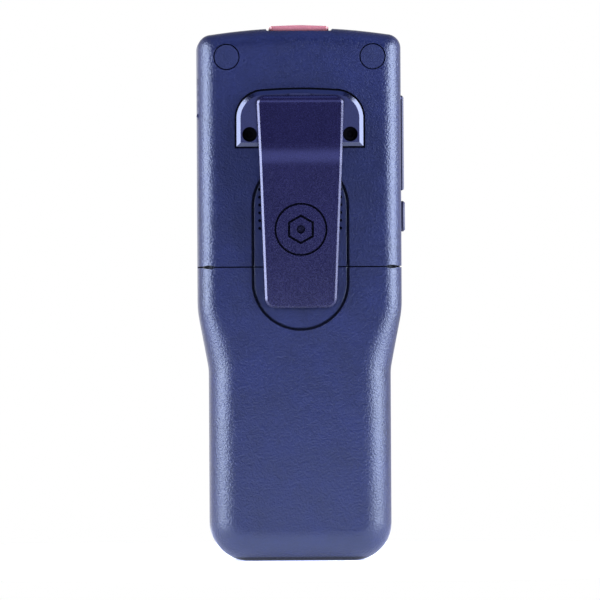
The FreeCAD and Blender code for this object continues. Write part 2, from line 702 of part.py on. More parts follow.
# ---------------------------------------------------------------- belt clip
def clip_base():
    """The screwed D plate with the middle knuckle of the clip's hinge."""
    face = "back_y+base_proud"
    plate = prism("base_plate", "XZ", "back_y-base_sink", face, base_corners("base_groove"))
    rimmed = bevelled("base_plate_bevel", plate, "YMax", "base_bevel",
                      "base_bevel_deep")
    knuckle = rod("base_knuckle", "X", ("hinge_y", "hinge_z"), "knuckle_radius",
                  "-knuckle_half", "knuckle_half")
    web = prism("base_web", "YZ", "-knuckle_half", "knuckle_half",
                span(face + "-0.2", "hinge_y", "hinge_z-knuckle_radius",
                     "hinge_z+knuckle_radius"))
    rib = prism("base_rib", "XZ", face + "-0.2", "rib_back", [
        ("-knuckle_half", "hinge_z", None), ("knuckle_half", "hinge_z", None),
        ("knuckle_half", "rib_top", "0.5"), ("-knuckle_half", "rib_top", "0.5")])
    holes = [rod("base_pin_hole", "X", ("hinge_y", "hinge_z"), "pin_radius",
                 "-knuckle_half-1", "knuckle_half+1")]
    for side, x in zip("ab", both("base_screw_x")):
        holes.append(rod("base_well_" + side, "Y", (x, "base_screw_z"),
                         "base_screw_hole", "back_y-base_sink+base_screw_seat", "back_y+2"))
        holes.append(rod("base_hole_" + side, "Y", (x, "base_screw_z"),
                         "base_screw_shaft", "back_y-base_sink-1", "back_y+2"))
    return keep("clip_base", cut("clip_base", join("base_solid", rimmed, knuckle, web, rib),
                                 *holes))


def clip_screws():
    """The two socket screws that hold the clip base."""
    seat = "back_y-base_sink+base_screw_seat"
    screws = [socket_screw("clip_screw_" + side, x, "base_screw_z", seat, seat + "+0.6",
                           "back_y-base_screw_length+3", "base_screw_hole-0.15",
                           "base_screw_shaft")
              for side, x in zip("ab", both("base_screw_x"))]
    return keep("clip_screws", group("clip_screws", *screws))


ARM_LEAN = ("(atan((arm_bend_y-hinge_y)/(hinge_z-arm_bend_z))-asin(barrel_radius/"
            "sqrt((arm_bend_y-hinge_y)^2+(hinge_z-arm_bend_z)^2)))")


def arm_strip(name, depth):
    """A bent strip whose outer face runs off the barrel and which is depth thick."""
    top_y = "hinge_y+barrel_radius*cos(%s)" % ARM_LEAN
    top_z = "hinge_z-barrel_radius*sin(%s)" % ARM_LEAN
    return prism(name, "YZ", "-arm_top_half-1", "arm_top_half+1", [
        (top_y, top_z, None), ("arm_bend_y", "arm_bend_z", "arm_bend"),
        ("arm_tip_y", "arm_tip", None), ("arm_tip_y-%s" % depth, "arm_tip", None),
        ("arm_bend_y-%s" % depth, "arm_bend_z", "arm_bend-%s" % depth),
        (top_y + "-%s" % depth, top_z, None)])


def arm_front():
    """The arm's tapering outline, seen from the back."""
    top = "hinge_z+barrel_radius-roll_flat"
    return prism("arm_front", "XZ", "back_y", "arm_bend_y+2", [
        ("-arm_tip_half", "arm_tip", "arm_tip_corner"),
        ("arm_tip_half", "arm_tip", "arm_tip_corner"),
        ("arm_top_half", top, "arm_top_corner"),
        ("-arm_top_half", top, "arm_top_corner")])


def hexagon(across, up, radius):
    """Six corners about a middle, one pointing up."""
    return [("%s+(%s)*cos(%d)" % (across, radius, turn),
             "%s+(%s)*sin(%d)" % (up, radius, turn), None) for turn in range(30, 390, 60)]


def arm_engraving():
    """The ring and the plain six-sided sign, as deep as the engraving."""
    tall = ("back_y", "arm_bend_y+2")
    ring_cut = ring("engraved_ring", "Y", ("0", "ring_z"), "ring_radius-ring_line",
                    "ring_radius", *tall)
    sign = prism("engraved_sign", "XZ", *tall, hexagon("0", "ring_z", "sign_radius"),
                 hexagon("0", "ring_z", "sign_radius-sign_line"))
    dot = rod("engraved_dot", "Y", ("0", "ring_z"), "sign_dot", *tall)
    lines = group("engraved_lines", ring_cut, sign, dot)
    return common("arm_engraving", arm_strip("arm_skin", "engrave"), lines)


def rim_edges(shape):
    """The edges between the arm's outer face and its upright walls."""
    found = []
    for index, edge in enumerate(shape.Edges, start=1):
        middle = edge.valueAt(sum(edge.ParameterRange) / 2)
        normals = []
        for face in shape.ancestorsOfType(edge, Part.Face):
            u, v = face.Surface.parameter(middle)
            normals.append(face.normalAt(u, v))
        walls = [n for n in normals if abs(n.y) < 0.001]
        outer = [n for n in normals if n.y > 0.15]
        over = middle.z > number("hinge_z") + 0.5
        if (walls and outer) or (over and len(walls) == 2):
            found.append(index)
    return found


def clip_arm():
    """The sprung arm, rolled at its top around the hinge."""
    hinge = ("hinge_y", "hinge_z")
    barrel = rod("arm_barrel", "X", hinge, "barrel_radius", "-arm_top_half-1",
                 "arm_top_half+1")
    whole = join("arm_whole", arm_strip("arm_solid", "arm_thick"), barrel)
    plate = common("arm_plate", whole, arm_front())
    doc.recompute()
    bevel = bevel_rim("arm_rim", plate, rim_edges(plate.Shape), "arm_bevel", "arm_bevel",
                      lambda shape: not shape.isNull())
    gap = "knuckle_half+knuckle_gap"
    room = "knuckle_radius+knuckle_gap"
    holes = [arm_engraving(),
             rod("arm_pin_hole", "X", hinge, "pin_radius+pin_clear", "-arm_top_half-1",
                 "arm_top_half+1"),
             rod("coil_room", "X", hinge, "coil_house", "-coil_end", "coil_end"),
             rod("knuckle_bore", "X", hinge, room, "-(%s)" % gap, gap),
             prism("knuckle_room", "YZ", "-(%s)" % gap, gap, span(
                 "back_y", "hinge_y", "hinge_z-(%s)" % room, "hinge_z+4"))]
    return keep("clip_arm", cut("clip_arm", bevel, *holes))


def clip_pin():
    """The hinge pin, fast in the base's knuckle."""
    return keep("clip_pin", rod("clip_pin", "X", ("hinge_y", "hinge_z"), "pin_radius",
                                "-arm_top_half+pin_end", "arm_top_half-pin_end"))


def clip_spring():
    """Two short coils inside the arm's barrel, as rings of wire side by side."""
    coils = []
    for sign in (1, -1):
        for turn in range(int(SIZES["coil_turns"])):
            coil = doc.addObject("Part::Torus", "coil")
            coil.setExpression("Radius1", cell("coil_radius"))
            coil.setExpression("Radius2", cell("coil_wire"))
            coil.Placement = FreeCAD.Placement(V(), TURN["X"])
            coil.setExpression("Placement.Base.x", cell(
                "%d*(knuckle_half+knuckle_gap+coil_wire+%d*(coil_wire*2+0.03))"
                % (sign, turn)))
            coil.setExpression("Placement.Base.y", cell("hinge_y"))
            coil.setExpression("Placement.Base.z", cell("hinge_z"))
            coils.append(coil)
    return keep("clip_spring", group("clip_spring", *coils))


# ---------------------------------------------------------------- side controls
def port_cover():
    """The long flap over the port, hinged at its upper end."""
    outer = "-head_half-port_proud"
    inner = "port_axis_in-head_half+port_end"
    flap = prism("port_flap", "XZ", "port_front+port_gap", "port_back-port_gap", [
        (outer, "port_low+port_gap", "0.6"), (inner, "port_low+port_gap", None),
        (inner, "port_axis_z+port_end", "port_end*0.9"),
        (outer, "port_axis_z+port_end", "port_end*1.1")])
    front = "port_front+port_gap"
    back = "port_back-port_gap"
    bevel = outer + "+port_bevel"
    plan = prism("port_plan", "XY", "port_low-1", "port_high+1", [
        (outer, front + "+port_bevel", None), (bevel, front, None), (inner, front, None),
        (inner, back, None), (bevel, back, None), (outer, back + "-port_bevel", None)])
    bore = rod("port_cover_bore", "Y", ("port_axis_in-head_half", "port_axis_z"),
               "port_pin_radius+port_pin_clear", "port_front-1", "port_back+1")
    return keep("port_cover", cut(
        "port_cover", common("port_flap_bevelled", flap, plan), bore))


def port_pin():
    """The flap's hinge pin, fast in the rear shell."""
    return keep("port_pin", rod("port_pin", "Y", ("port_axis_in-head_half", "port_axis_z"),
                                "port_pin_radius", "port_front-1.5", "port_back+1.5"))


def port_socket():
    """The charging and data socket behind the flap."""
    mouth = "-head_half+port_sink+0.1"
    back = "-head_half+port_sink+socket_deep"
    gap = "fit_gap/2"
    shell = prism("socket_block", "YZ", mouth, back, span(
        "port_window_front+" + gap, "port_window_back-" + gap, "port_window_low+" + gap,
        "port_window_high-" + gap, "0.8"))
    room = prism("socket_room", "YZ", mouth + "-1", back + "-1.5", span(
        "port_window_front+socket_wall", "port_window_back-socket_wall",
        "port_window_low+socket_wall", "port_window_high-socket_wall", "0.6"))
    return keep("port_socket", cut("port_socket", shell, room))


def side_button():
    """The short button below the port cover."""
    gap = "fit_gap"
    cap = prism("button_cap", "YZ", "-head_half-button_proud", "-head_half+wall+0.6",
                span("button_y-button_half+" + gap, "button_y+button_half-" + gap,
                     "button_low+" + gap, "button_high-" + gap, "1.4"))
    rounded = bevelled("button_cap_bevel", cap, "XMin", "button_bevel", "button_bevel")
    flange = prism("button_flange_plate", "YZ", "-head_half+wall+0.05",
                   "-head_half+wall+0.9", span(
                       "button_y-button_half-0.9", "button_y+button_half+0.9",
                       "button_low-button_flange", "button_high+button_flange"))
    stem = rod("button_stem", "X", ("button_y", "(button_low+button_high)/2"), "1.1",
               "-head_half+wall+0.5", "-head_half+wall+2.6")
    return keep("side_button", join("side_button", rounded, flange, stem))


def side_switch():
    """The switch that the side button presses, on the main board."""
    face = "-head_half+wall+2.6+button_travel+0.1"
    back = "board_front+board_thick"
    return keep("side_switch", prism("side_switch", "YZ", face, face + "+3.6", span(
        back, back + "+4.2", "(button_low+button_high)/2-3", "(button_low+button_high)/2+3")))


# ---------------------------------------------------------------- front face
def display_window():
    """The clear window over the display, flush with the front."""
    return keep("display_window", prism(
        "display_window", "XZ", "front_y", "front_y+window_thick",
        oblong("display_half+window_rim-fit_gap/2", "display_tall+window_rim-fit_gap/2",
               "0", "display_z", "2.9")))


LCD_FRONT = "front_y+wall+stack_gap"
LIGHT_FRONT = LCD_FRONT + "+lcd_thick+stack_gap/2"
CARD_FRONT = LIGHT_FRONT + "+light_thick+stack_gap/2"
BOARD_BACK = "board_front+board_thick"


def display_stack():
    """Display glass, its backlight and the keypad card behind both."""
    keep("lcd_module", prism("lcd_module", "XZ", LCD_FRONT, LCD_FRONT + "+lcd_thick",
                             oblong("lcd_half", "lcd_tall", "0", "display_z", "0.5")))
    keep("lcd_backlight", prism("lcd_backlight", "XZ", LIGHT_FRONT,
                                LIGHT_FRONT + "+light_thick",
                                oblong("lcd_half-0.5", "lcd_tall-0.5", "0", "display_z")))
    keep("keypad_card", prism("keypad_card", "XZ", CARD_FRONT, CARD_FRONT + "+card_thick",
                              span("-card_half", "card_half", "card_low",
                                   "display_z+lcd_tall", "2")))


def key_domes():
    """The snap domes under the keys."""
    domes = [rod("dome", "Y", ("key_pitch*%d" % step, "key_z"), "dome_radius",
                 CARD_FRONT + "-dome_height", CARD_FRONT) for step in (-1, 0, 1)]
    return keep("key_domes", group("key_domes", *domes))


def key(name, step):
    """One round key with the flange that keeps it in and the stem on its dome."""
    x = "key_pitch*%d" % step
    tip = CARD_FRONT + "-dome_height-key_travel-0.1"
    inner = "front_y+wall"
    cap = rod(name + "_cap", "Y", (x, "key_z"), "key_radius", "front_y-key_proud",
              inner + "+0.3")
    flange = rod(name + "_flange", "Y", (x, "key_z"), "key_radius+key_flange",
                 inner + "+0.1", inner + "+0.9")
    stem = rod(name + "_stem", "Y", (x, "key_z"), "stem_radius", inner + "+0.8", tip)
    return keep(name, join(name, cap, flange, stem))


def sensor_cap():
    """The slotted plate over both gas inlets."""
    plate = prism("cap_plate", "XZ", "front_y-0.3", "front_y+cap_thick", oblong(
        "cap_half-fit_gap/2", "cap_tall-fit_gap/2", "0", "sensor_z",
        "cap_tall-fit_gap/2-0.01"))
    slots = []
    for x in both("sensor_x"):
        for step in (-2, -1, 0, 1, 2):
            slots.append(prism("cap_slot", "XZ", "front_y-1", "front_y+cap_thick+1", oblong(
                "slot_long/2-%s" % (0.35 * step * step), "slot_wide/2", x,
                "sensor_z+slot_pitch*%d" % step, "slot_wide/2-0.01")))
    return keep("sensor_cap", cut("sensor_cap", plate, *slots))


def sensors():
    """The two gas sensors on the main board, each with its filter and seal."""
    face = "board_front-sensor_long"
    for side, x in zip(("left", "right"), both("sensor_x")):
        keep("sensor_" + side, rod("sensor_" + side, "Y", (x, "sensor_z"),
                                   "sensor_radius", face, "board_front"))
    keep("inlet_filters", group("inlet_filters", *[
        rod("filter", "Y", (x, "sensor_z"), "inlet_radius-fit_gap/2",
            "front_y+cap_thick+0.1", "front_y+cap_thick+0.1+filter_thick")
        for x in both("sensor_x")]))
    keep("sensor_seals", group("sensor_seals", *[
        ring("sensor_seal", "Y", (x, "sensor_z"), "inlet_radius+0.4", "sensor_radius-0.6",
             "front_y+wall", face) for x in both("sensor_x")]))


# ---------------------------------------------------------------- boards
def main_board():
    """The main circuit board, screwed to the rear shell's posts."""
    board = prism("board_plate", "XZ", "board_front", BOARD_BACK,
                  span("board_side-head_half", "head_half-board_side", "board_low",
                       "board_high", "2"))
    holes = [rod("board_hole", "Y", (x, z), "post_screw+0.1", "board_front-1",
                 BOARD_BACK + "+1") for x in both("post_x") for z in ("post_low", "post_high")]
    holes.append(prism("board_notch", "XZ", "board_front-1", BOARD_BACK + "+1", span(
        "board_side-head_half-1", "-head_half+port_sink+socket_deep+fit_gap",
        "port_window_low-fit_gap", "port_window_high+fit_gap")))
    return keep("main_board", cut("main_board", board, *holes))


def board_screws():
    """The four screws of the main board."""
    screws = []
    for x in both("post_x"):
        for z in ("post_low", "post_high"):
            screws.append(join("board_screw",
                               rod("board_screw_head", "Y", (x, z), "post_head",
                                   "board_front-1.3", "board_front"),
                               rod("board_screw_shaft", "Y", (x, z), "post_screw",
                                   "board_front-0.1", "board_front+board_thick+5")))
    return keep("board_screws", group("board_screws", *screws))


def board_chips():
    """The larger chips on the board's front, between the posts."""
    places = (("-9", "104", "5", "5"), ("8", "106", "4", "6"), ("-2", "122", "3.5", "2.5"),
              ("12", "121", "3", "3"))
    chips = [prism("chip", "XZ", "board_front-1.4", "board_front", oblong(
        half, tall, x, z)) for x, z, half, tall in places]
    return keep("board_chips", group("board_chips", *chips))


def sounder():
    """The sounder, its foam frame and its membrane behind the sound holes."""
    keep("sounder", rod("sounder", "Y", ("0", "sounder_z"), "sounder_radius", BOARD_BACK,
                        BOARD_BACK + "+sounder_tall"))
    inner = "back_y-wall"
    top = BOARD_BACK + "+sounder_tall"
    keep("sounder_frame", prism("sounder_frame", "XZ", top, inner, oblong(
        "chamber_half", "chamber_tall", "0", "sounder_z", "1"), oblong(
        "chamber_half-chamber_wall", "chamber_tall-chamber_wall", "0", "sounder_z",
        "0.6")))
    keep("sounder_membrane", prism("sounder_membrane", "XZ", inner + "-0.5", inner + "-0.2",
                                   oblong("chamber_half-chamber_wall",
                                          "chamber_tall-chamber_wall", "0", "sounder_z",
                                          "0.6")))


MOTOR_Y = "board_front+board_thick+motor_lift+motor_radius"
MOTOR_TOP = "motor_low+motor_long"


def vibration_motor():
    """The vibration motor, its cradle and the off-centre weight on its shaft."""
    cradle = prism("cradle_block", "XY", "motor_low+0.5", MOTOR_TOP + "-0.5", span(
        "motor_x-motor_radius", "motor_x+motor_radius", BOARD_BACK, MOTOR_Y + "-0.8"))
    body = rod("motor_body", "Z", ("motor_x", MOTOR_Y), "motor_radius", "motor_low",
               MOTOR_TOP)
    shaft = rod("motor_shaft", "Z", ("motor_x", MOTOR_Y), "motor_shaft",
                MOTOR_TOP + "-0.5", MOTOR_TOP + "+weight_thick+0.6")
    keep("motor_cradle", cut("motor_cradle", cradle,
                             rod("cradle_seat", "Z", ("motor_x", MOTOR_Y), "motor_radius",
                                 "motor_low-1", MOTOR_TOP + "+1")))
    keep("vibration_motor", join("vibration_motor", body, shaft))
    disc = rod("weight_disc", "Z", ("motor_x", MOTOR_Y), "weight_radius",
               MOTOR_TOP + "+0.4", MOTOR_TOP + "+0.4+weight_thick")
    off = prism("weight_off", "XY", MOTOR_TOP, MOTOR_TOP + "+weight_thick+1", span(
        "motor_x-weight_radius-1", "motor_x+weight_radius+1", MOTOR_Y + "+1.1",
        MOTOR_Y + "+weight_radius+1"))
    bore = rod("weight_bore", "Z", ("motor_x", MOTOR_Y), "motor_shaft+0.03", MOTOR_TOP,
               MOTOR_TOP + "+weight_thick+1")
    keep("vibration_weight", cut("vibration_weight", disc, off, bore))


def alarm_board():
    """The small board with three lamps under the lens."""
    low = "case_top-lens_flange_deep-2.6"
    middle = "(lens_back+lens_front)/2"
    keep("alarm_board", prism("alarm_board", "XY", low, low + "+1", oblong(
        "lens_half", "4.5", "0", middle, "0.8")))
    lamps = []
    for step in (-1, 0, 1):
        x = "lens_half*0.6*%d" % step
        lamps.append(join("lamp", rod("lamp_base", "Z", (x, middle), "1.6", low + "+1",
                                      low + "+2.2"),
                          rod("lamp_tip", "Z", (x, middle), "1.2", low + "+2.1",
                              low + "+4")))
    keep("alarm_lamps", group("alarm_lamps", *lamps))


# ---------------------------------------------------------------- battery compartment
TRAY_FLOOR = "cell_y-cell_radius-0.15"
TRAY_HALF = "cell_radius*3+cell_gap+tray_clear+tray_side"


def battery_tray():
    """The open tray behind the front shell that holds three cells."""
    tub = prism("tray_tub", "XZ", TRAY_FLOOR + "-tray_thick", "tray_back",
                span("-(%s)" % TRAY_HALF, TRAY_HALF, "tray_low", "tray_high", "2"))
    room = prism("tray_room", "XZ", TRAY_FLOOR, "tray_back+1", span(
        "tray_side-(%s)" % TRAY_HALF, TRAY_HALF + "-tray_side", "tray_low+tray_thick",
        "tray_high-tray_thick", "0.5"))
    low_sides = prism("tray_low_sides", "XZ", "cell_y", "tray_back+1", span(
        "-(%s)-1" % TRAY_HALF, TRAY_HALF + "+1", "tray_low+tray_thick+4", "tray_high-tray_thick-4"))
    feet = [prism("tray_foot", "XZ", "front_y+wall", TRAY_FLOOR + "-tray_thick+0.1",
                  oblong("2.5", "2.5", x, z))
            for x in both("15") for z in ("tray_low+9", "tray_high-9")]
    return keep("battery_tray", join("battery_tray", cut("tray_open", tub, room, low_sides),
                                     *feet))


def battery_cells():
    """Three round cells side by side, turned end for end."""
    for index, step in enumerate((-1, 0, 1), start=1):
        x = "(cell_radius*2+cell_gap)*%d" % step
        high = "cell_low+cell_long"
        if step == 0:
            ends = ("cell_low+nub_long", high)
            nub = ("cell_low", "cell_low+nub_long+0.1")
        else:
            ends = ("cell_low", high + "-nub_long")
            nub = (high + "-nub_long-0.1", high)
        name = "battery_cell_%d" % index
        keep(name, join(name, rod(name + "_can", "Z", (x, "cell_y"), "cell_radius", *ends),
                        rod(name + "_nub", "Z", (x, "cell_y"), "nub_radius", *nub)))


def battery_contacts():
    """Flat contacts at both ends and a coil at each cell's flat end."""
    high = "tray_high-tray_thick"
    plates = []
    for low_z, high_z, tag in (("tray_low+tray_thick", "tray_low+tray_thick+contact_thick",
                                "low"), (high + "-contact_thick", high, "high")):
        for step in (-1, 0, 1):
            plates.append(prism("contact_%s" % tag, "XY", low_z, high_z, oblong(
                "5", "4.5", "(cell_radius*2+cell_gap)*%d" % step, "cell_y-1.5")))
    keep("battery_contacts", group("battery_contacts", *plates))
    springs = []
    for step in (-1, 0, 1):
        x = "(cell_radius*2+cell_gap)*%d" % step
        if step:
            low_z, high_z = "tray_low+tray_thick+contact_thick", "cell_low"
        else:
            low_z, high_z = "cell_low+cell_long", high + "-contact_thick"
        springs.append(ring("battery_spring", "Z", (x, "cell_y"),
                            "spring_radius-spring_wire", "spring_radius", low_z, high_z))
    keep("battery_springs", group("battery_springs", *springs))


# ---------------------------------------------------------------- build
rear_shell()
front_shell()
battery_cover()
case_seal()
alarm_lens()
screw_plugs()
case_screws()
side_vent()
side_vent_filter()
clip_base()
clip_screws()
clip_arm()
clip_pin()
clip_spring()
port_cover()
port_pin()
port_socket()
side_button()
side_switch()
display_window()
display_stack()
key_domes()
for key_name, key_step in (("key_left", -1), ("key_middle", 0), ("key_right", 1)):
    key(key_name, key_step)
sensor_cap()
sensors()
main_board()
board_screws()
board_chips()
sounder()
vibration_motor()
alarm_board()
battery_tray()
battery_cells()
battery_contacts()
doc.recompute()

faults = [item.Name for item in doc.Objects
          if "Invalid" in item.State or "Error" in item.State]
faults += [piece.Label for piece in NODES
           if piece.Shape.isNull() or not piece.Shape.isValid() or not piece.Shape.Solids]
if faults:
    raise RuntimeError("failed objects: " + ", ".join(faults))

os.makedirs("parts", exist_ok=True)
for piece in NODES:
    piece.Shape.exportStep("parts/%s.step" % piece.Label)
    print("%-18s %2d solid(s) %10.1f mm3" % (piece.Label, len(piece.Shape.Solids),
                                            piece.Shape.Volume))
print(len(NODES), "nodes")
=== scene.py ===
"""Looks of the portable gas detector: materials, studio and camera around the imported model.

Everything is in metres, in the model's own frame: +Z up, the belt clip on the +Y back.
"""
import json
import math

import bpy
from mathutils import Matrix, Vector

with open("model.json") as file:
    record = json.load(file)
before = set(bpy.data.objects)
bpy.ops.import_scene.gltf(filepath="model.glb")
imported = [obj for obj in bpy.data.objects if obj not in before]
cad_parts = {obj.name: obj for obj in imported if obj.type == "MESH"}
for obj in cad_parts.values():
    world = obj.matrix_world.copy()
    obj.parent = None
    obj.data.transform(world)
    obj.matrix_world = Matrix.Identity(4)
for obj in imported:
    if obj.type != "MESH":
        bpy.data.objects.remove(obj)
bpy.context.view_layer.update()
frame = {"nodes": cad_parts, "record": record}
MM = 0.001


# ---------------------------------------------------------------- materials
DRIFT_SIZE = 9 * MM
DRIFT_SHARE = 0.45
# painted shade: ambient occlusion turns the plastic near black and less shiny in grooves,
# holes and gaps
PAINTED_SHADE_SAMPLES = 8
PAINTED_SHADE_REACH = 1.5 * MM
PAINTED_SHADE_RANGE = (0.45, 0.92)
PAINTED_SHADE_SHINE = 0.15
PAINTED_SHADE_COLOUR = (0.001, 0.001, 0.002)
PLASTIC_SWING = (-0.05, 0.07)
METAL_SWING = (-0.08, 0.1)
GLASS_ROUGHNESS = (0.03, 0.09)
SMEAR_SIZE = 14 * MM
STREAK_SIZE = 0.25 * MM
STREAK_SQUEEZE = 0.15
STREAK_DEPTH = 0.004 * MM
STREAK_DARK = 0.75


def new_material(name):
    """A new node material, its tree, its shader and its object coordinates."""
    material = bpy.data.materials.new(name)
    material.use_nodes = True
    tree = material.node_tree
    shader = tree.nodes["Principled BSDF"]
    coords = tree.nodes.new("ShaderNodeTexCoord").outputs["Object"]
    return material, tree, shader, coords


def noise(tree, coords, size, detail, rough=0.5):
    """A noise whose features are about size metres across."""
    node = tree.nodes.new("ShaderNodeTexNoise")
    node.inputs["Scale"].default_value = 1.0 / size
    node.inputs["Detail"].default_value = detail
    node.inputs["Roughness"].default_value = rough
    tree.links.new(coords, node.inputs["Vector"])
    return node.outputs[0]


def spread(tree, value, low, high, start=0.3, end=0.7):
    """The value's range start..end turned into low..high."""
    node = tree.nodes.new("ShaderNodeMapRange")
    node.inputs["From Min"].default_value = start
    node.inputs["From Max"].default_value = end
    node.inputs["To Min"].default_value = low
    node.inputs["To Max"].default_value = high
    tree.links.new(value, node.inputs["Value"])
    return node.outputs["Result"]


def maths(tree, kind, *values):
    """The result of one arithmetic step on numbers or linked values."""
    node = tree.nodes.new("ShaderNodeMath")
    node.operation = kind
    for socket, value in zip(node.inputs, values):
        if isinstance(value, (int, float)):
            socket.default_value = value
        else:
            tree.links.new(value, socket)
    return node.outputs[0]


def two_colours(tree, value, first, second):
    """A colour between two, fixed or linked, chosen by a 0..1 value."""
    node = tree.nodes.new("ShaderNodeMix")
    node.data_type = "RGBA"
    for socket, colour in ((node.inputs["A"], first), (node.inputs["B"], second)):
        if isinstance(colour, (tuple, list)):
            socket.default_value = (*colour, 1)
        else:
            tree.links.new(colour, socket)
    tree.links.new(value, node.inputs["Factor"])
    return node.outputs["Result"]


def painted_shade_openness(tree):
    """How open the surface is, the mask for painted shade: 1 out in the open, 0 deep in a
    groove or a hole.
    """
    node = tree.nodes.new("ShaderNodeAmbientOcclusion")
    node.samples = PAINTED_SHADE_SAMPLES
    node.inputs["Distance"].default_value = PAINTED_SHADE_REACH
    return spread(tree, node.outputs["AO"], 0, 1, *PAINTED_SHADE_RANGE)


def bump(tree, height, depth):
    """A bump of that depth in metres."""
    node = tree.nodes.new("ShaderNodeBump")
    node.inputs["Distance"].default_value = depth
    tree.links.new(height, node.inputs["Height"])
    return node.outputs["Normal"]


def plastic(name, colour, roughness, grain=0.4, depth=0.02, vary=0.12, specular=0.5,
            tint=(1, 1, 1)):
    """Moulded plastic: grain in mm, bump depth in mm, colour that drifts and speckles, and
    painted shade that darkens colour and shine in grooves and holes.
    """
    material, tree, shader, coords = new_material(name)
    drift = spread(tree, noise(tree, coords, DRIFT_SIZE, 3), 0, DRIFT_SHARE)
    fine = noise(tree, coords, grain * MM, 2, 0.6)
    speckle = maths(tree, "ADD", drift, spread(tree, fine, 0, 1 - DRIFT_SHARE))
    darker = [c * (1 - vary) for c in colour]
    lighter = [min(1, c * (1 + vary)) for c in colour]
    mixed = two_colours(tree, speckle, darker, lighter)
    clear = painted_shade_openness(tree)
    # painted shade: the colour turns near black deep in grooves and holes
    tree.links.new(two_colours(tree, clear, PAINTED_SHADE_COLOUR, mixed),
                   shader.inputs["Base Color"])
    swing = [roughness + step for step in PLASTIC_SWING]
    tree.links.new(spread(tree, fine, *swing), shader.inputs["Roughness"])
    tree.links.new(bump(tree, fine, depth * MM), shader.inputs["Normal"])
    # painted shade: the shine fades deep in grooves and holes
    tree.links.new(spread(tree, clear, PAINTED_SHADE_SHINE * specular, specular, 0, 1),
                   shader.inputs["Specular IOR Level"])
    shader.inputs["Specular Tint"].default_value = (*tint, 1)
    return material


def metal(name, colour, roughness):
    """Worn metal with fine streaks along the object's height."""
    material, tree, shader, coords = new_material(name)
    stretch = tree.nodes.new("ShaderNodeMapping")
    stretch.inputs["Scale"].default_value = (1, 1, STREAK_SQUEEZE)
    tree.links.new(coords, stretch.inputs["Vector"])
    lines = noise(tree, stretch.outputs[0], STREAK_SIZE, 3)
    dark = [c * STREAK_DARK for c in colour]
    tree.links.new(two_colours(tree, spread(tree, lines, 0, 1), dark, colour),
                   shader.inputs["Base Color"])
    swing = [roughness + step for step in METAL_SWING]
    tree.links.new(spread(tree, lines, *swing), shader.inputs["Roughness"])
    tree.links.new(bump(tree, lines, STREAK_DEPTH), shader.inputs["Normal"])
    shader.inputs["Metallic"].default_value = 1.0
    return material


COOL = (0.78, 0.86, 1.0)
# name: colour, roughness, grain (mm), bump depth (mm), variation, specular level, its tint;
# values left out are plastic's own
PLASTICS = {
    "case_blue": ((0.0036, 0.0058, 0.035), 0.34, 0.6, 0.19, 0.35, 0.62, COOL),
    "clip_blue": ((0.0055, 0.0048, 0.022), 0.24, 0.45, 0.008, 0.2, 0.8, (0.68, 0.70, 1.0)),
    "base_blue": ((0.0015, 0.002, 0.012), 0.2, 0.45, 0.015, 0.2, 0.8, (0.70, 0.75, 1.0)),
    "flap_blue": ((0.012, 0.012, 0.040), 0.45, 0.3),
    "button_blue": ((0.012, 0.012, 0.040), 0.45, 0.3),
    "plug_blue": ((0.004, 0.0064, 0.034), 0.38, 0.55, 0.15, 0.3, 0.6, COOL),
    "vent_blue": ((0.009, 0.012, 0.046), 0.40, 0.5, 0.1),
    "lens_red": ((0.43, 0.14, 0.145), 0.2, 1.2, 0.01),
    "seal_black": ((0.02, 0.02, 0.022), 0.6),
    "foam_black": ((0.03, 0.03, 0.03), 0.9, 0.6, 0.1),
    "socket_black": ((0.02, 0.02, 0.022), 0.4),
    "switch_black": ((0.025, 0.025, 0.027), 0.45),
    "tray_black": ((0.03, 0.03, 0.032), 0.5),
    "cap_dark": ((0.03, 0.032, 0.04), 0.45, 0.4, 0.03),
    "key_grey": ((0.30, 0.31, 0.34), 0.55, 0.3, 0.01),
    "sensor_body": ((0.75, 0.75, 0.72), 0.5),
    "filter_white": ((0.8, 0.8, 0.8), 0.9, 0.2, 0.03),
    "lcd_glass": ((0.30, 0.34, 0.28), 0.25, 0.5, 0.001),
    "light_white": ((0.85, 0.86, 0.85), 0.3),
    "board_green": ((0.02, 0.16, 0.06), 0.35, 0.5, 0.01),
    "chip_black": ((0.02, 0.02, 0.02), 0.4),
    "lamp_clear": ((0.85, 0.30, 0.30), 0.15, 1.0, 0.001),
    "cell_jacket": ((0.10, 0.10, 0.11), 0.3, 1.0, 0.002),
    "screw_black": ((0.0012, 0.0012, 0.0016), 0.6, 0.3, 0.03, 0.12, 0.04),
}
# name: colour, roughness
METALS = {
    "contact_metal": ((0.75, 0.75, 0.72), 0.2),
    "spring_steel": ((0.55, 0.55, 0.56), 0.3),
    "pin_steel": ((0.55, 0.55, 0.57), 0.25),
    "motor_steel": ((0.60, 0.60, 0.60), 0.3),
    "weight_metal": ((0.45, 0.44, 0.42), 0.4),
    "screw_steel": ((0.50, 0.50, 0.52), 0.3),
}


def window_glass():
    """The clear window over the display, faintly smeared."""
    material, tree, shader, coords = new_material("window_glass")
    smear = noise(tree, coords, SMEAR_SIZE, 3)
    tree.links.new(spread(tree, smear, *GLASS_ROUGHNESS), shader.inputs["Roughness"])
    shader.inputs["Base Color"].default_value = (0.85, 0.88, 0.90, 1)
    shader.inputs["Transmission Weight"].default_value = 0.9
    shader.inputs["IOR"].default_value = 1.49
    return material


def dress(node, material):
    """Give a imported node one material."""
    mesh = frame["nodes"][node].data
    mesh.materials.clear()
    mesh.materials.append(material)


def dress_all():
    """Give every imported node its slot's material, and the clip's base a glossier one."""
    materials = {name: plastic(name, *look) for name, look in PLASTICS.items()}
    materials |= {name: metal(name, *look) for name, look in METALS.items()}
    materials["window_glass"] = window_glass()
    for part in frame["record"]["subparts"]:
        dress(part["node"], materials[part["material_slot"]])
    dress("clip_base", materials["base_blue"])


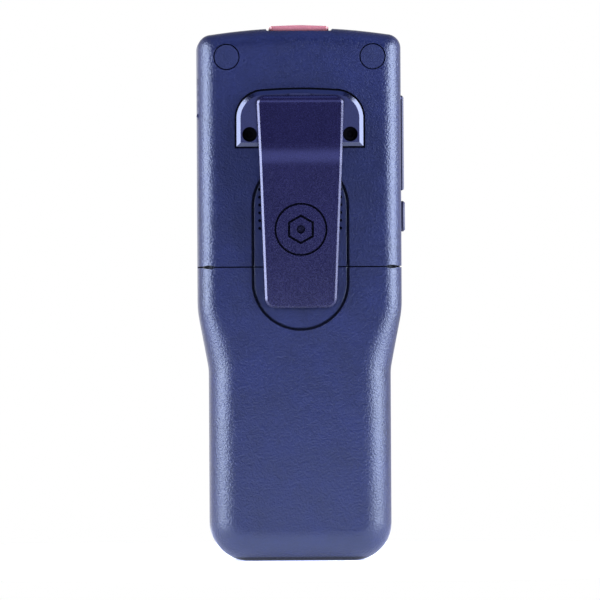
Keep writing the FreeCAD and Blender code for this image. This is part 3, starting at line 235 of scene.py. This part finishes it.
# ---------------------------------------------------------------- studio and camera
MIDDLE = Vector((0, 0, 90 * MM))
FLOOR_RADIUS = 0.22
FLOOR_CORNERS = 96
FLOOR_GLOW = (0.55, 0.62, 1.0)
FLOOR_STRENGTH = 0.9
BOX_COLOUR = (0.78, 0.84, 1.0)
BOX_RADIANCE = 14
# name: degrees round from the middle of the back, distance in metres
SIDE_BOXES = {"left_box": (72, 0.8), "right_box": (-69, 0.65)}
# shares of a side box's distance
BOX_RISE = 0.05
BOX_WIDTH = 0.76
BOX_HEIGHT = 1.8
# name: place, target, width, height, brightness, colour
OTHER_BOXES = {
    "fill_box": ((-0.15, 0.10, 0.15), (-0.02, 0.02, 0.12), 0.06, 0.2, 3, BOX_COLOUR),
    "top_box": ((0, 0.2, 0.95), MIDDLE, 0.6, 0.4, 1.4, (0.28, 0.38, 1.0)),
}
# the surroundings fade over these ranges of a direction's x, y or z
FADE_TO_CLIP_SIDE = (-0.3, 0.3)
CLIP_SIDE_LEVEL = 0.05
FADE_UPWARD = (0.15, 0.75)
UPWARD_LEVEL = 0.25
BAND_MIDDLE = 0.06
BAND_ASIDE = (0.12, 0.22)
BAND_UP_AND_DOWN = (0.14, 0.27)
BAND_RADIANCE = 2.4
BAND_COLOUR = (0.42, 0.47, 1.0)
VIEW_DISTANCE = 3.0
VIEW_AZIMUTH = 178.5
VIEW_ROLL = -0.3
# the width seen in a plane nearer to the camera than the aim: 600 pixels, 3.24 to the mm
VIEW_WIDTH = 600 / 3.24 * MM
VIEW_PLANE = 8 * MM
VIEW_AIM = Vector((-0.2 * MM, 0, 80.4 * MM))


def add_piece(name, data):
    """A new object in the scene."""
    piece = bpy.data.objects.new(name, data)
    bpy.context.scene.collection.objects.link(piece)
    return piece


def floor():
    """A round matt pale floor that glows by itself."""
    turns = [2 * math.pi * step / FLOOR_CORNERS for step in range(FLOOR_CORNERS)]
    rim = [(FLOOR_RADIUS * math.cos(turn), FLOOR_RADIUS * math.sin(turn), 0) for turn in turns]
    mesh = bpy.data.meshes.new("floor")
    mesh.from_pydata(rim, [], [tuple(range(len(rim)))])
    material, _, shader, _ = new_material("floor")
    shader.inputs["Base Color"].default_value = (0.9, 0.9, 0.9, 1)
    shader.inputs["Roughness"].default_value = 0.9
    shader.inputs["Emission Color"].default_value = (*FLOOR_GLOW, 1)
    shader.inputs["Emission Strength"].default_value = FLOOR_STRENGTH
    mesh.materials.append(material)
    add_piece("floor", mesh)


def soft_box(name, place, target, width, height, radiance, colour):
    """A rectangular light aimed at a point, given by its brightness."""
    light = bpy.data.lights.new(name, "AREA")
    light.shape = "RECTANGLE"
    light.size = width
    light.size_y = height
    light.energy = radiance * math.pi * width * height
    light.color = colour
    piece = add_piece(name, light)
    piece.location = place
    way = Vector(target) - Vector(place)
    piece.rotation_euler = way.to_track_quat("-Z", "Y").to_euler()


def soft_boxes():
    """A tall box at each side of the viewer, a small one near the back and one above."""
    for name, (turn, away) in SIDE_BOXES.items():
        turn = math.radians(turn)
        place = MIDDLE + Vector((math.sin(turn), math.cos(turn), BOX_RISE)) * away
        soft_box(name, place, MIDDLE, away * BOX_WIDTH, away * BOX_HEIGHT,
                 BOX_RADIANCE, BOX_COLOUR)
    for name, settings in OTHER_BOXES.items():
        soft_box(name, *settings)


def studio_world():
    """Surroundings by direction: white beyond the display side, dark on the clip's side
    except for a low bluish band straight out from the clip, and white wherever seen."""
    world = bpy.data.worlds.new("studio_world")
    world.use_nodes = True
    tree = world.node_tree
    way = tree.nodes.new("ShaderNodeTexCoord").outputs["Generated"]
    parts = tree.nodes.new("ShaderNodeSeparateXYZ")
    tree.links.new(way, parts.inputs[0])
    side = spread(tree, parts.outputs["Y"], 1.0, CLIP_SIDE_LEVEL, *FADE_TO_CLIP_SIDE)
    high = spread(tree, parts.outputs["Z"], 1.0, UPWARD_LEVEL, *FADE_UPWARD)
    around = maths(tree, "MULTIPLY", side, high)
    aside = maths(tree, "ABSOLUTE", parts.outputs["X"])
    ahead = maths(tree, "MULTIPLY", spread(tree, aside, 1.0, 0.0, *BAND_ASIDE),
                  maths(tree, "GREATER_THAN", parts.outputs["Y"], 0))
    level = maths(tree, "ABSOLUTE",
                  maths(tree, "SUBTRACT", parts.outputs["Z"], BAND_MIDDLE))
    band = maths(tree, "MULTIPLY", ahead,
                 spread(tree, level, BAND_RADIANCE, 0.0, *BAND_UP_AND_DOWN))
    light = maths(tree, "ADD", around, band)
    seen = tree.nodes.new("ShaderNodeLightPath").outputs["Is Camera Ray"]
    bluish = maths(tree, "MULTIPLY", ahead, maths(tree, "SUBTRACT", 1, seen))
    background = tree.nodes["Background"]
    tree.links.new(two_colours(tree, bluish, (1, 1, 1), BAND_COLOUR),
                   background.inputs["Color"])
    tree.links.new(maths(tree, "MAXIMUM", light, seen), background.inputs["Strength"])
    bpy.context.scene.world = world


def camera():
    """A long lens, about level with the object's middle and nearly square to the back."""
    azimuth = math.radians(VIEW_AZIMUTH)
    lens = bpy.data.cameras.new("camera")
    lens.sensor_width = 36
    lens.lens = lens.sensor_width * (VIEW_DISTANCE - VIEW_PLANE) / VIEW_WIDTH
    away = Vector((math.sin(azimuth), -math.cos(azimuth), 0)) * VIEW_DISTANCE
    turn = (-away).to_track_quat("-Z", "Y").to_matrix().to_4x4()
    roll = Matrix.Rotation(math.radians(VIEW_ROLL), 4, "Z")
    piece = add_piece("camera", lens)
    piece.matrix_world = Matrix.Translation(VIEW_AIM + away) @ turn @ roll
    bpy.context.scene.camera = piece


dress_all()
floor()
soft_boxes()
studio_world()
camera()
bpy.context.scene.view_settings.view_transform = "Standard"
